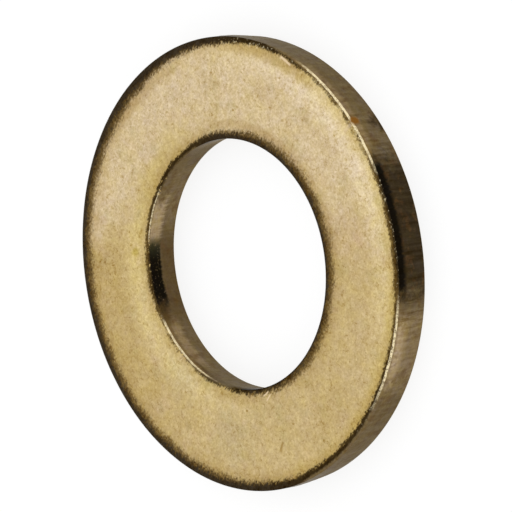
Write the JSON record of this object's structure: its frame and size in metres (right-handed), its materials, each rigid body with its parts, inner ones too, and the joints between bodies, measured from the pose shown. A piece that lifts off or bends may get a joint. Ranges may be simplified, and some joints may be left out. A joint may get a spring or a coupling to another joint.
{
  "type": "flat washer",
  "caption": "Plain round flat brass washer with a central bore, blanked from strip, its upper edges drawn down and its cut wall leaning in below a smooth land.",
  "frame": {"origin": "centre of the bore on the underside, the face that the washer lies on", "axes": "+Z along the bore axis, towards the upper face with the drawn-down edges"},
  "size_m": [0.0374, 0.0374, 0.0032],
  "materials": {
    "brass": "tumbled satin, darker brown at the drawn-down edges and on the cut wall"
  },
  "bodies": {
    "root": {"washer": "brass"}
  },
  "joints": []
}
